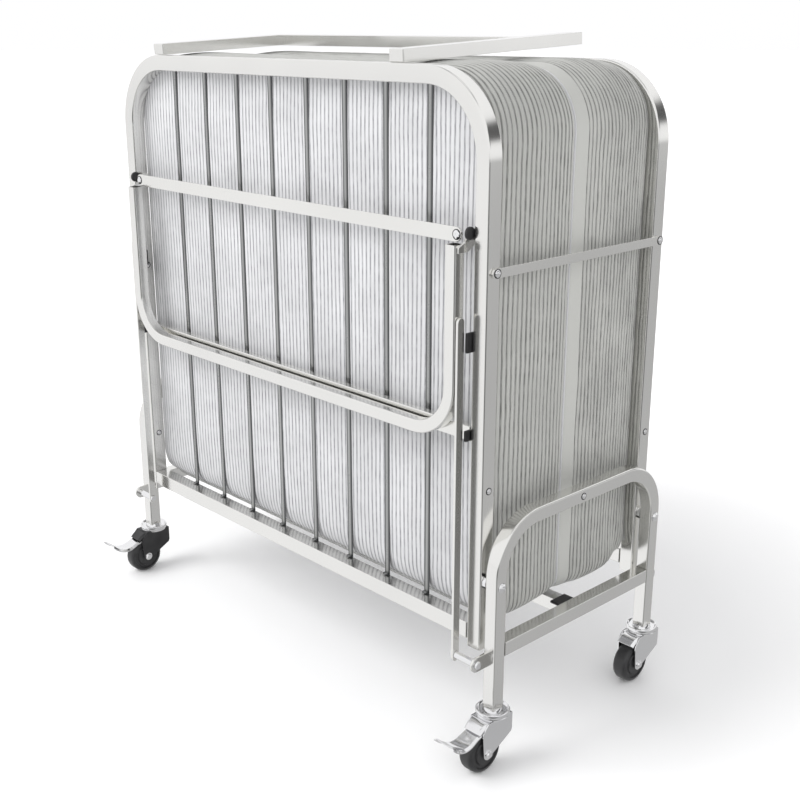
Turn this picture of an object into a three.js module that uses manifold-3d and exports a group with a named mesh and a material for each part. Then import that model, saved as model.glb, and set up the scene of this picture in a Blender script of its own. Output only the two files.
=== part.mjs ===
// A folding bed on casters, folded shut: two decks stand on edge with the mattress between them.
// Millimetres, +Z up, +X along the bed's width, the floor at z = 0.
// Lengths along Y are given from the fold's middle plane; the finished bed is then centred on its box.
import * as THREE from "three";
import { mergeVertices } from "three/addons/utils/BufferGeometryUtils.js";
import Module from "manifold-3d";

const wasm = await Module();
wasm.setup();

// ---- Driving dimensions ----
const GAP = 0.3; // between pieces that touch
const WALL = 1.6; // of every steel tube
const ROUND = 10; // sides of a pin and of the hole it turns in, so that their flats stay parallel

const DECK = {
  halfWidth: 500,
  top: 1128,
  legEnd: 206,
  tube: 29,
  corner: 135,
  frontY: -222.5,
  railZ: 232,
  crossZ: 575,
  crossHeight: 25,
  crossDepth: 15,
};
const DECK_Y = DECK.frontY + DECK.tube / 2; // the centre line of the frame tube
const DECK_INNER_X = DECK.halfWidth - DECK.tube;

const DECK_PIVOT = { y: DECK_Y, z: 327 };

const STAND = { innerX: 508, tube: 25.4, halfDepth: 220.7, bottom: 105, top: 441, corner: 100 };
const STAND_X = STAND.innerX + STAND.tube / 2;
const RAIL = { bottom: 199, height: 25 };
const CENTRE_TUBE = { size: 25, top: 220.5 };

const LEG = { halfWidth: 459, tube: 22, frontY: -250, bottom: 559, top: 872, corner: 92 };
const LEG_Y = LEG.frontY + LEG.tube / 2;
const LEG_PIVOT = { y: DECK_Y, z: 885 };
const BRACE = { halfLength: 453, height: 23, thick: 4.2, frontY: -231 };
const LUG = { thick: 4, radius: 14, drop: 12 };
const EAR = { thick: 5, radius: 13, overlap: 3 };
const PIN = { deck: 6, leg: 5, link: 4 }; // radii
const PIN_GRIP = 8; // how far a pin's hole is cut past a tube's outer face

const LINK = { innerX: 460, thick: 5, width: 14, overrun: 12 };
const LINK_FOOT = { y: LEG_Y - 1, z: 192 };
// The same as between the deck's pivots, so that the four pivots stay a parallelogram.
const LINK_REACH = LEG_PIVOT.z - DECK_PIVOT.z;

const STRAP = { width: 12, thick: 1.5, frontY: -196, pitch: 100, perSide: 4, rod: 3 };

const MATTRESS = {
  halfWidth: 469,
  outerY: -193,
  innerY: -0.5,
  bottom: 222,
  top: 1124,
  corner: 60,
  crown: 30,
};
const FOLD = { reach: 60.5, middleGap: 26, clearance: 50 };
const FOLD_PIVOT = { y: DECK_PIVOT.y + FOLD.reach, z: DECK_PIVOT.z - FOLD.reach };

const LATCH = { x: 500.4, thick: 4, height: 15, z: 831, nearY: DECK_Y, farY: -DECK_Y };

const HOOP = {
  wide: 32,
  tall: 20,
  leftX: -367,
  rightX: 297,
  frontY: -215,
  leftEnd: 92,
  rightEnd: 214,
  barY: 76,
  barWide: 25,
  tilt: 3,
};

const CASTER = {
  trail: 30,
  wheelRadius: 37.5,
  wheelWidth: 30,
  forkGap: 17.5,
  forkPlate: 3,
  raceRadius: 28,
  raceTop: 97,
};

// The pedal's underside as (y, z) points from its root to its tip, from the caster's post.
const PEDAL = {
  plate: 2.5,
  halfWidth: 15,
  route: [[-31, 79.5], [-52, 78], [-72, 70], [-92, 74], [-112, 88]],
};

// ---- Materials ----
const nickel = () => new THREE.MeshStandardMaterial({ color: 0xd6d7d3, roughness: 0.22, metalness: 1 });
const zinc = () => new THREE.MeshStandardMaterial({ color: 0xc3c5c6, roughness: 0.3, metalness: 1 });
const strapSteel = () => new THREE.MeshStandardMaterial({ color: 0x6f7377, roughness: 0.4, metalness: 1 });
const blackRubber = () => new THREE.MeshStandardMaterial({ color: 0x17181a, roughness: 0.55, metalness: 0 });
const ticking = () => new THREE.MeshStandardMaterial({ color: 0xe6e8ee, roughness: 0.9, metalness: 0 });

// ---- Solids ----
function solid(geometry) {
  geometry.deleteAttribute("normal");
  geometry.deleteAttribute("uv");
  const merged = mergeVertices(geometry, 1e-4);
  return new wasm.Manifold(
    new wasm.Mesh({
      numProp: 3,
      vertProperties: merged.attributes.position.array,
      triVerts: new Uint32Array(merged.index.array),
    }),
  );
}

function geometryOf(manifold) {
  const made = manifold.getMesh();
  return new THREE.BufferGeometry()
    .setAttribute("position", new THREE.BufferAttribute(made.vertProperties, 3))
    .setIndex(new THREE.BufferAttribute(made.triVerts, 1));
}

const box = (x0, x1, y0, y1, z0, z1) =>
  solid(
    new THREE.BoxGeometry(x1 - x0, y1 - y0, z1 - z0).translate((x0 + x1) / 2, (y0 + y1) / 2, (z0 + z1) / 2),
  );

// A shape drawn in (u, v) and given a thickness: u along X and v along Z, thick along Y.
const slabXZ = (shape, y0, y1, curveSegments = 4) =>
  solid(
    new THREE.ExtrudeGeometry(shape, { depth: y1 - y0, bevelEnabled: false, curveSegments })
      .rotateX(Math.PI / 2)
      .translate(0, y1, 0),
  );

// The same with u along Y and v along Z, thick along X.
const slabYZ = (shape, x0, x1, curveSegments = 4) =>
  solid(
    new THREE.ExtrudeGeometry(shape, { depth: x1 - x0, bevelEnabled: false, curveSegments })
      .rotateX(Math.PI / 2)
      .rotateZ(Math.PI / 2)
      .translate(x0, 0, 0),
  );

// A turned piece lying along X: profile holds [x, radius] pairs and starts and ends on the axis.
function turnedX(profile, y, z, sides = ROUND) {
  const points = profile.map(([x, radius]) => new THREE.Vector2(radius, x));
  return solid(new THREE.LatheGeometry(points, sides).rotateZ(-Math.PI / 2).translate(0, y, z));
}

function turnedZ(profile, x, y, sides = 2 * ROUND) {
  const points = profile.map(([z, radius]) => new THREE.Vector2(radius, z));
  return solid(new THREE.LatheGeometry(points, sides).rotateX(Math.PI / 2).translate(x, y, 0));
}

const pinX = (x0, x1, radius, y, z, sides = ROUND) =>
  turnedX([[x0, 0], [x0, radius], [x1, radius], [x1, 0]], y, z, sides);

// A U with round corners, open downwards: a band of the tube's width, its ends at v = foot.
function uBand(halfWidth, top, corner, width, foot) {
  const inner = halfWidth - width;
  const innerCorner = corner - width;
  const shape = new THREE.Shape();
  shape.moveTo(halfWidth, foot);
  shape.lineTo(halfWidth, top - corner);
  shape.absarc(halfWidth - corner, top - corner, corner, 0, Math.PI / 2, false);
  shape.lineTo(corner - halfWidth, top);
  shape.absarc(corner - halfWidth, top - corner, corner, Math.PI / 2, Math.PI, false);
  shape.lineTo(-halfWidth, foot);
  shape.lineTo(-inner, foot);
  shape.lineTo(-inner, top - corner);
  shape.absarc(innerCorner - inner, top - corner, innerCorner, Math.PI, Math.PI / 2, true);
  shape.lineTo(inner - innerCorner, top - width);
  shape.absarc(inner - innerCorner, top - corner, innerCorner, Math.PI / 2, 0, true);
  shape.lineTo(inner, foot);
  return shape;
}

// A bent square tube: the band less a thinner band that runs out of both ends.
function bentTube(halfWidth, top, corner, width, foot, low, high, slab) {
  const outer = slab(uBand(halfWidth, top, corner, width, foot), low, high);
  const bore = slab(
    uBand(halfWidth - WALL, top - WALL, corner - WALL, width - 2 * WALL, foot - 10),
    low + WALL,
    high - WALL,
  );
  return outer.subtract(bore);
}

function straightTube(x0, x1, y0, y1, z0, z1, along) {
  const cut = { x: [10, -WALL, -WALL], y: [-WALL, 10, -WALL] }[along];
  const bore = box(x0 - cut[0], x1 + cut[0], y0 - cut[1], y1 + cut[1], z0 - cut[2], z1 + cut[2]);
  return box(x0, x1, y0, y1, z0, z1).subtract(bore);
}

// ---- The model: each node is a mesh in a group; the rear half is the front half mirrored ----
const bed = new THREE.Group();

function add(name, manifold, material, parent = bed) {
  const mesh = new THREE.Mesh(geometryOf(manifold), material);
  mesh.name = name;
  parent.add(mesh);
  return mesh;
}

const mirrorY = (manifold) => manifold.mirror([0, 1, 0]);
const mirrorX = (manifold) => manifold.mirror([1, 0, 0]);
const halves = [
  ["front", (m) => m],
  ["rear", mirrorY],
];
const sides = [
  ["right", (m) => m],
  ["left", mirrorX],
];

// ---- End stands: an arched tube with a low rail and two lugs for the links ----
function linkLug() {
  const shape = new THREE.Shape();
  const { y, z } = LINK_FOOT;
  const reach = -STAND.halfDepth + EAR.overlap;
  shape.moveTo(reach, z - EAR.radius);
  shape.lineTo(reach, z + EAR.radius);
  shape.lineTo(y, z + EAR.radius);
  shape.absarc(y, z, EAR.radius, Math.PI / 2, (3 * Math.PI) / 2, false);
  return slabYZ(shape, STAND.innerX, STAND.innerX + EAR.thick);
}

function endStand() {
  const { innerX, tube, halfDepth, bottom, top, corner } = STAND;
  const lug = linkLug();
  let made = bentTube(halfDepth, top, corner, tube, bottom, innerX, innerX + tube, slabYZ);
  // The lugs meet the posts' outer faces only, so the tube stays open inside.
  const post = box(innerX, innerX + tube, -halfDepth, halfDepth, bottom, top);
  const ear = lug.subtract(post);
  made = made.add(ear).add(mirrorY(ear));
  for (const y of [-1, 1]) {
    const deckHole = pinX(innerX - 5, innerX + tube + 5, PIN.deck + GAP, y * -DECK_PIVOT.y, DECK_PIVOT.z);
    const linkHole = pinX(innerX - 5, innerX + 12, PIN.leg + GAP, y * -LINK_FOOT.y, LINK_FOOT.z);
    made = made.subtract(deckHole).subtract(linkHole);
  }
  return made;
}

function standRail() {
  const reach = STAND.halfDepth - STAND.tube - GAP;
  const x0 = STAND.innerX;
  return straightTube(x0, x0 + STAND.tube, -reach, reach, RAIL.bottom, RAIL.bottom + RAIL.height, "y");
}

for (const [side, placed] of sides) {
  add(`end_stand_${side}`, placed(endStand()), nickel());
  add(`stand_rail_${side}`, placed(standRail()), nickel());
}

const centreReach = STAND.innerX - GAP;
const centreHalf = CENTRE_TUBE.size / 2;
const centreFloor = CENTRE_TUBE.top - CENTRE_TUBE.size;
add(
  "centre_cross_tube",
  straightTube(-centreReach, centreReach, -centreHalf, centreHalf, centreFloor, CENTRE_TUBE.top, "x"),
  nickel(),
);

// ---- Pivots ----
// The deck pivot is one stepped rivet: a head outside the stand, a collar that spaces the deck off it.
function deckPivot() {
  const outside = STAND.innerX + STAND.tube + GAP;
  const collar = [DECK.halfWidth + GAP, STAND.innerX - GAP];
  return turnedX(
    [
      [DECK_INNER_X + 4, 0],
      [DECK_INNER_X + 4, PIN.deck],
      [collar[0], PIN.deck],
      [collar[0], 2 * PIN.deck],
      [collar[1], 2 * PIN.deck],
      [collar[1], PIN.deck],
      [outside, PIN.deck],
      [outside, 9],
      [outside + 2, 8],
      [outside + 3.5, 4.5],
      [outside + 3.5, 0],
    ],
    DECK_PIVOT.y,
    DECK_PIVOT.z,
  );
}

// The link's foot pin reaches from the stand's lug to the link bar.
function linkPin() {
  return turnedX(
    [
      [LINK.innerX - 3.5, 0],
      [LINK.innerX - 3.5, 6],
      [LINK.innerX - GAP, 7],
      [LINK.innerX - GAP, PIN.link],
      [LINK.innerX + LINK.thick + GAP, PIN.link],
      [LINK.innerX + LINK.thick + GAP, 6.5],
      [STAND.innerX - GAP, 6.5],
      [STAND.innerX - GAP, PIN.leg],
      [STAND.innerX + EAR.thick + GAP, PIN.leg],
      [STAND.innerX + EAR.thick + GAP, 7.5],
      [STAND.innerX + 9, 6],
      [STAND.innerX + 9, 0],
    ],
    LINK_FOOT.y,
    LINK_FOOT.z,
  );
}

// The leg's pivot: a head inside the lug, a bush between lug and deck, a shank in the deck tube.
function legPivot() {
  const lugFace = LEG.halfWidth + LUG.thick;
  const lugBack = LEG.halfWidth - WALL / 2;
  return turnedX(
    [
      [lugBack - 4, 0],
      [lugBack - 4, 6],
      [lugBack - GAP, 7.5],
      [lugBack - GAP, PIN.leg],
      [lugFace + GAP, PIN.leg],
      [lugFace + GAP, 9],
      [DECK_INNER_X - GAP, 9],
      [DECK_INNER_X - GAP, PIN.leg],
      [DECK_INNER_X + PIN_GRIP, PIN.leg],
      [DECK_INNER_X + PIN_GRIP, 0],
    ],
    LEG_PIVOT.y,
    LEG_PIVOT.z,
  );
}

// ---- Decks ----
function deckFrame() {
  const { halfWidth, top, corner, tube, legEnd, frontY } = DECK;
  let made = bentTube(halfWidth, top, corner, tube, legEnd, frontY, frontY + tube, slabXZ);
  for (const x of [-1, 1]) {
    const [low, high] = [x * (DECK_INNER_X - 5), x * (halfWidth + 5)].sort((a, b) => a - b);
    made = made.subtract(pinX(low, high, PIN.deck + GAP, DECK_PIVOT.y, DECK_PIVOT.z));
    const [from, to] = [x * (DECK_INNER_X - 5), x * (DECK_INNER_X + 12)].sort((a, b) => a - b);
    made = made.subtract(pinX(from, to, PIN.leg + GAP, LEG_PIVOT.y, LEG_PIVOT.z));
  }
  return made;
}

function deckRail() {
  const reach = DECK_INNER_X - GAP;
  const half = DECK.tube / 2;
  const { frontY, tube, railZ } = DECK;
  return straightTube(-reach, reach, frontY, frontY + tube, railZ - half, railZ + half, "x");
}

function deckCross() {
  const reach = DECK_INNER_X - GAP;
  const half = DECK.crossHeight / 2;
  const back = DECK.frontY + DECK.crossDepth;
  return straightTube(-reach, reach, DECK.frontY, back, DECK.crossZ - half, DECK.crossZ + half, "x");
}

// Eight flat straps hang between two thin rods, one under the top rail and one on the bottom rail.
function strapSet() {
  const { width, thick, frontY, pitch, perSide, rod } = STRAP;
  const low = DECK.railZ + DECK.tube / 2 + GAP;
  const high = DECK.top - DECK.tube - GAP;
  const reach = pitch * (perSide - 0.5) + width;
  const middle = frontY + thick / 2;
  const rodAt = (z) => box(-reach, reach, middle - rod / 2, middle + rod / 2, z - rod / 2, z + rod / 2);
  let made = rodAt(low + rod / 2).add(rodAt(high - rod / 2));
  for (let i = 0; i < 2 * perSide; i++) {
    const x = pitch * (i + 0.5 - perSide);
    made = made.add(box(x - width / 2, x + width / 2, frontY, frontY + thick, low, high));
  }
  return made;
}

// ---- Legs: a U of square tube that hangs on the deck by two lugs, with a flat brace between the lugs ----
function legFrame() {
  const { halfWidth, tube, frontY, bottom, top, corner } = LEG;
  // The U is drawn open downwards, so it is turned over about the middle of its height.
  const turned = (made) => made.rotate([180, 0, 0]).translate([0, 2 * frontY + tube, bottom + top]);
  let made = turned(bentTube(halfWidth, top, corner, tube, bottom, frontY, frontY + tube, slabXZ));
  for (const placed of [(m) => m, mirrorX]) {
    made = made.add(placed(legLug()));
    const holes = [halfWidth - PIN_GRIP, halfWidth + PIN_GRIP];
    const pivotHole = pinX(...holes, PIN.leg + GAP, LEG_PIVOT.y, LEG_PIVOT.z);
    const linkHole = pinX(...holes, PIN.link + GAP, LINK_FOOT.y, LINK_FOOT.z + LINK_REACH);
    made = made.subtract(placed(pivotHole)).subtract(placed(linkHole));
  }
  return made;
}

function legLug() {
  const shape = new THREE.Shape();
  const { y, z } = LEG_PIVOT;
  const front = LEG.frontY + 2;
  shape.moveTo(front, z - LUG.radius - LUG.drop);
  shape.lineTo(front + LEG.tube, z - LUG.radius - LUG.drop);
  shape.lineTo(y, z - LUG.radius);
  shape.absarc(y, z, LUG.radius, -Math.PI / 2, Math.PI / 2, false);
  shape.lineTo(front, z + LUG.radius - 3);
  return slabYZ(shape, LEG.halfWidth - WALL / 2, LEG.halfWidth + LUG.thick);
}

function legBrace() {
  const { halfLength, height, thick, frontY } = BRACE;
  const shape = new THREE.Shape();
  const half = height / 2;
  shape.moveTo(-halfLength + half, LEG_PIVOT.z - half);
  shape.lineTo(halfLength - half, LEG_PIVOT.z - half);
  shape.absarc(halfLength - half, LEG_PIVOT.z, half, -Math.PI / 2, Math.PI / 2, false);
  shape.lineTo(-halfLength + half, LEG_PIVOT.z + half);
  shape.absarc(-halfLength + half, LEG_PIVOT.z, half, Math.PI / 2, (3 * Math.PI) / 2, false);
  return slabXZ(shape, frontY, frontY + thick);
}

// A flat bar from the stand's lug up to the leg, with a short pin of its own into the leg's arm.
function linkBar() {
  const { innerX, thick, width, overrun } = LINK;
  const { y, z } = LINK_FOOT;
  const half = width / 2;
  const high = z + LINK_REACH;
  const shape = new THREE.Shape();
  shape.moveTo(y - half, z - overrun + half);
  shape.absarc(y, z - overrun + half, half, Math.PI, 2 * Math.PI, false);
  shape.lineTo(y + half, high + overrun - half);
  shape.absarc(y, high + overrun - half, half, 0, Math.PI, false);
  const bar = slabYZ(shape, innerX, innerX + thick);
  const pin = pinX(LEG.halfWidth - 6, innerX + 1, PIN.link, y, high);
  return bar.add(pin).subtract(pinX(innerX - 5, innerX + thick + 5, PIN.link + GAP, y, z));
}

// ---- Side latch: a flat bar with a round end on each deck's leg ----
function latchBar() {
  const { x, thick, height, z, nearY, farY } = LATCH;
  const half = height / 2;
  const shape = new THREE.Shape();
  shape.moveTo(nearY, z - half);
  shape.lineTo(farY, z - half);
  shape.absarc(farY, z, half, -Math.PI / 2, Math.PI / 2, false);
  shape.lineTo(nearY, z + half);
  shape.absarc(nearY, z, half, Math.PI / 2, (3 * Math.PI) / 2, false);
  return slabYZ(shape, x, x + thick);
}

// ---- Top hoop: two arms along Y and a bar across them, tilted up towards the rear ----
function topHoop() {
  const { wide, tall, leftX, rightX, frontY, leftEnd, rightEnd, barY, barWide, tilt } = HOOP;
  const half = wide / 2;
  const near = barY - barWide / 2;
  const far = barY + barWide / 2;
  const arm = (x, end, w, over) => box(x - half + w, x + half - w, frontY - over, end + over, w, tall - w);
  const bar = (w) => box(leftX, rightX, near + w, far - w, w, tall - w);
  const outer = arm(leftX, leftEnd, 0, 0).add(arm(rightX, rightEnd, 0, 0)).add(bar(0));
  const bore = arm(leftX, leftEnd, WALL, 5).add(arm(rightX, rightEnd, WALL, 5)).add(bar(WALL));
  return outer
    .subtract(bore)
    .translate([0, -frontY, 0])
    .rotate([tilt, 0, 0])
    .translate([0, frontY, DECK.top + GAP]);
}

// ---- Mattress: one slab to each deck, and the bend at the bottom as a piece of its own ----
function mattressSlab() {
  const { outerY, innerY, top, crown, halfWidth } = MATTRESS;
  const { y, z } = FOLD_PIVOT;
  const r = FOLD.clearance;
  const shape = new THREE.Shape();
  const start = Math.PI / 4 + 0.05;
  const end = Math.acos((outerY - y) / r);
  shape.moveTo(innerY, z + (innerY - y) + 4);
  shape.lineTo(y + r * Math.cos(start), z + r * Math.sin(start));
  shape.absarc(y, z, r, start, end, false);
  shape.lineTo(outerY, z + r * Math.sin(end));
  shape.lineTo(outerY, top - crown);
  shape.quadraticCurveTo(outerY, top, outerY + crown, top);
  shape.lineTo(innerY - crown, top);
  shape.quadraticCurveTo(innerY, top, innerY, top - crown);
  return slabYZ(shape, -halfWidth, halfWidth, 4);
}

function mattressBend() {
  const { outerY, bottom, corner, halfWidth } = MATTRESS;
  const { y, z } = FOLD_PIVOT;
  const middle = -FOLD.middleGap;
  const shape = new THREE.Shape();
  const centre = { y: outerY + corner, z: bottom + corner };
  shape.moveTo(middle, z + (middle - y) - 1);
  shape.lineTo(centre.y - corner * Math.cos(0.83), centre.z - corner * Math.sin(0.83));
  shape.absarc(centre.y, centre.z, corner, Math.PI + 0.85, 1.5 * Math.PI, false);
  shape.lineTo(middle, bottom);
  return slabYZ(shape, -halfWidth, halfWidth, 4);
}

for (const [half, placed] of halves) {
  add(`deck_frame_${half}`, placed(deckFrame()), nickel());
  add(`deck_rail_${half}`, placed(deckRail()), nickel());
  add(`deck_cross_tube_${half}`, placed(deckCross()), nickel());
  add(`deck_straps_${half}`, placed(strapSet()), strapSteel());
  add(`leg_frame_${half}`, placed(legFrame()), nickel());
  add(`leg_brace_${half}`, placed(legBrace()), nickel());
  add(`mattress_${half}`, placed(mattressSlab()), ticking());
  add(`mattress_bend_${half}`, placed(mattressBend()), ticking());
  for (const [side, across] of sides) {
    add(`deck_pivot_${half}_${side}`, placed(across(deckPivot())), zinc());
    add(`link_pin_${half}_${side}`, placed(across(linkPin())), zinc());
    add(`leg_pivot_${half}_${side}`, placed(across(legPivot())), blackRubber());
    add(`link_bar_${half}_${side}`, placed(across(linkBar())), nickel());
  }
}
add("latch_bar", latchBar(), nickel());
add("top_hoop", topHoop(), nickel());

// ---- Casters: a raceway on the post, a fork that swivels, a wheel on its axle, a brake pedal in front ----
function casterRace() {
  const { raceRadius, raceTop } = CASTER;
  const seat = STAND.bottom - GAP;
  return turnedZ(
    [
      [raceTop + GAP, 0],
      [raceTop + GAP, raceRadius - 5],
      [raceTop + 3, raceRadius],
      [seat - 2, raceRadius],
      [seat, raceRadius - 3],
      [seat, 8],
      [seat + 30, 8],
      [seat + 32, 6],
      [seat + 32, 0],
    ],
    0,
    0,
  );
}

function forkPlateShape() {
  const { trail, wheelRadius, raceTop } = CASTER;
  const shape = new THREE.Shape();
  shape.moveTo(20, raceTop - 9);
  shape.lineTo(-26, raceTop - 9);
  shape.quadraticCurveTo(-40, raceTop - 18, -trail - 10, wheelRadius);
  shape.absarc(-trail, wheelRadius, 10, Math.PI, 2 * Math.PI, false);
  shape.quadraticCurveTo(4, raceTop - 34, 20, raceTop - 14);
  return shape;
}

function casterFork() {
  const { raceTop, raceRadius, forkGap, forkPlate, trail, wheelRadius } = CASTER;
  let made = turnedZ(
    [
      [raceTop - 9, 0],
      [raceTop - 9, raceRadius - 3],
      [raceTop - 3, raceRadius],
      [raceTop, raceRadius - 4],
      [raceTop, 0],
    ],
    0,
    0,
  );
  made = made.add(box(-forkGap - 1, forkGap + 1, -24, 18, raceTop - 11, raceTop - 8));
  for (const x of [-forkGap - forkPlate, forkGap]) {
    made = made.add(slabYZ(forkPlateShape(), x, x + forkPlate, 4));
  }
  return made.subtract(pinX(-40, 40, 4 + GAP, -trail, wheelRadius));
}

function casterWheel() {
  const { trail, wheelRadius, wheelWidth } = CASTER;
  const half = wheelWidth / 2;
  const sidesRound = 24;
  // The flats, not the corners, stand at the wheel's radius.
  const rim = wheelRadius / Math.cos(Math.PI / sidesRound);
  const profile = [
    [-half, 4.6],
    [-half, 12],
    [-half + 3, 25],
    [-half, 28],
    [-half, rim - 5],
    [-half + 5, rim],
    [half - 5, rim],
    [half, rim - 5],
    [half, 28],
    [half - 3, 25],
    [half, 12],
    [half, 4.6],
    [-half, 4.6],
  ];
  const points = profile.map(([x, radius]) => new THREE.Vector2(radius, x));
  // Half a step about the axle turns a flat, not a corner, to the floor.
  const turned = new THREE.LatheGeometry(points, sidesRound).rotateY(Math.PI / sidesRound);
  return solid(turned.rotateZ(-Math.PI / 2).translate(0, -trail, wheelRadius));
}

function casterAxle() {
  const { trail, wheelRadius, forkGap, forkPlate } = CASTER;
  const outer = forkGap + forkPlate + GAP;
  return turnedX(
    [
      [-outer - 4, 0],
      [-outer - 4, 5],
      [-outer, 7.5],
      [-outer, 4],
      [outer, 4],
      [outer, 7.5],
      [outer + 4, 5],
      [outer + 4, 0],
    ],
    -trail,
    wheelRadius,
  );
}

// A bent plate over the wheel: it runs forward from the fork and turns up at its tip.
function brakePedal() {
  const { plate, halfWidth, route } = PEDAL;
  const shape = new THREE.Shape();
  shape.moveTo(...route[0]);
  shape.splineThru(route.slice(1).map(([y, z]) => new THREE.Vector2(y, z)));
  const back = [...route].reverse().map(([y, z]) => new THREE.Vector2(y + plate * 0.35, z + plate));
  shape.lineTo(back[0].x, back[0].y);
  shape.splineThru(back.slice(1));
  return slabYZ(shape, -halfWidth, halfWidth, 3);
}

for (const [half, y] of [["front", DECK_Y], ["rear", -DECK_Y]]) {
  for (const [side, x] of [["right", STAND_X], ["left", -STAND_X]]) {
    const caster = new THREE.Group();
    caster.position.set(x, y, 0);
    bed.add(caster);
    const end = `${half}_${side}`;
    add(`caster_race_${end}`, casterRace(), zinc(), caster);
    add(`caster_fork_${end}`, casterFork(), end === "front_left" ? blackRubber() : zinc(), caster);
    add(`caster_wheel_${end}`, casterWheel(), blackRubber(), caster);
    add(`caster_axle_${end}`, casterAxle(), zinc(), caster);
    if (half === "front") add(`brake_pedal_${end}`, brakePedal(), zinc(), caster);
  }
}

// ---- The bed stands centred on its own box ----
const extent = new THREE.Box3().setFromObject(bed, true);
bed.position.set(0, -(extent.min.y + extent.max.y) / 2, 0);
const rollawayBed = new THREE.Group();
rollawayBed.add(bed);
export default rollawayBed;
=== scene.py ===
# %% [markdown]
# # A folding bed on casters
# The bed stands folded shut: two steel tube decks on edge with a striped mattress between them,
# held by two arched end stands on casters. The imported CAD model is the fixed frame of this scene.
# It gives every place and size, and this file gives the looks.

import math
import random

import bmesh
import bpy
import numpy as np
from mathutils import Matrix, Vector, noise


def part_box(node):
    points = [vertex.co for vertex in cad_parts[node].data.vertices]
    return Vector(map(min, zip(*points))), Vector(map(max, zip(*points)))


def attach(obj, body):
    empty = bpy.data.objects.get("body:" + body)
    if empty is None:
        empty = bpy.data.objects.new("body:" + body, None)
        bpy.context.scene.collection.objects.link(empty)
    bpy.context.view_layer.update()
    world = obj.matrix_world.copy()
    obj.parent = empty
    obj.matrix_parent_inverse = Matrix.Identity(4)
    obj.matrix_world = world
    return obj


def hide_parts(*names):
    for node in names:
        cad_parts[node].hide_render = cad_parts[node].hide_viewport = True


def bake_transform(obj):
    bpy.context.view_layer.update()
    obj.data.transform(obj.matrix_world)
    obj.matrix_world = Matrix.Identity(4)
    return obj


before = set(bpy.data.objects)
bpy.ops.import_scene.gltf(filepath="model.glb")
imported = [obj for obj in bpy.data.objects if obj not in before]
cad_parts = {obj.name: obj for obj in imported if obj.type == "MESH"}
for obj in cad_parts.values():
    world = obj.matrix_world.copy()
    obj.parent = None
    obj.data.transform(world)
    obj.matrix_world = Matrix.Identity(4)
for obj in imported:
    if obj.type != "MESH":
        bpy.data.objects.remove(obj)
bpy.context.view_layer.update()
random.seed(7)
X, Y, Z = Vector((1, 0, 0)), Vector((0, 1, 0)), Vector((0, 0, 1))

# %% [markdown]
# Lengths on drawings of furniture are in millimetres, and Blender works in metres, so one factor turns
# the first into the second. The fold's middle plane lies between the two mattress halves.

# %% Millimetres and the fold's middle plane
MM = 0.001
FOLD_Y = (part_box("mattress_front")[1].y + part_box("mattress_rear")[0].y) / 2
HALVES = {"front": 1, "rear": -1}
SIDES = {"right": 1, "left": -1}


def at(x, y, z):
    """A place in millimetres, with y from the fold's middle plane, as a vector in metres."""
    return Vector((x * MM, y * MM + FOLD_Y, z * MM))


print("the fold's middle plane is at y =", round(FOLD_Y, 5))

# %% [markdown]
# ## Finishes
# A material is a small graph of nodes. Two helpers keep that short: one starts a material, and one adds
# a node with its settings and its inputs, which are either numbers or the outputs of other nodes.


# %% Helpers for materials
def start_finish(name):
    material = bpy.data.materials.new(name)
    material.use_nodes = True
    tree = material.node_tree
    return material, tree, tree.nodes["Principled BSDF"]


def add_node(tree, kind, inputs=(), **settings):
    made = tree.nodes.new(kind)
    for key, value in settings.items():
        setattr(made, key, value)
    for socket, value in dict(inputs).items():
        if isinstance(value, bpy.types.NodeSocket):
            tree.links.new(value, made.inputs[socket])
        else:
            made.inputs[socket].default_value = value
    return made


def grain(tree, place, scale, detail=3.0, rough=0.55):
    """A noise pattern from 0 to 1 at a place."""
    made = add_node(
        tree, "ShaderNodeTexNoise", {"Vector": place, "Scale": scale, "Detail": detail, "Roughness": rough}
    )
    return made.outputs["Fac"]


def spread(tree, value, low, high, start=0.35, end=0.65):
    """Turns a pattern into a number from low to high."""
    made = add_node(
        tree,
        "ShaderNodeMapRange",
        {"Value": value, "From Min": start, "From Max": end, "To Min": low, "To Max": high},
    )
    return made.outputs["Result"]


def blend_colours(tree, share, first, second):
    made = add_node(tree, "ShaderNodeMix", {0: share, 6: first, 7: second}, data_type="RGBA")
    return made.outputs[2]


def calculate(tree, operation, first, second=0.0):
    return add_node(tree, "ShaderNodeMath", {0: first, 1: second}, operation=operation).outputs[0]


# %% [markdown]
# Nickel plate on drawn steel tube is a soft mirror: it is never quite even, because the polish leaves
# faint waves and smears. A noise drives the colour a little, the roughness more, and a very shallow
# bump bends the reflections. One recipe with other numbers makes the zinc and the strap steel.


# %% Plated metals
def plated_metal(name, light, dark, rough, wave, scratch=0.06):
    material, tree, shader = start_finish(name)
    place = add_node(tree, "ShaderNodeTexCoord").outputs["Object"]
    cloud = grain(tree, place, 3.0, 2.0)
    smear = grain(tree, place, 9.0, 2.0)
    fine = grain(tree, place, 900.0, 2.0)
    tint = blend_colours(tree, spread(tree, cloud, 0.0, 1.0, 0.25, 0.75), (*light, 1), (*dark, 1))
    tree.links.new(tint, shader.inputs["Base Color"])
    shader.inputs["Metallic"].default_value = 1.0
    smeared, scratched = spread(tree, smear, 0.0, 0.03, 0.2, 0.8), spread(tree, fine, 0.0, scratch)
    uneven = calculate(tree, "ADD", smeared, scratched)
    tree.links.new(calculate(tree, "ADD", uneven, rough), shader.inputs["Roughness"])
    ripple = add_node(tree, "ShaderNodeBump", {"Height": smear, "Strength": wave, "Distance": 0.0006})
    brushed = add_node(
        tree,
        "ShaderNodeBump",
        {"Height": fine, "Strength": 0.05, "Distance": 0.0001, "Normal": ripple.outputs["Normal"]},
    )
    tree.links.new(brushed.outputs["Normal"], shader.inputs["Normal"])
    return material


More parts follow.
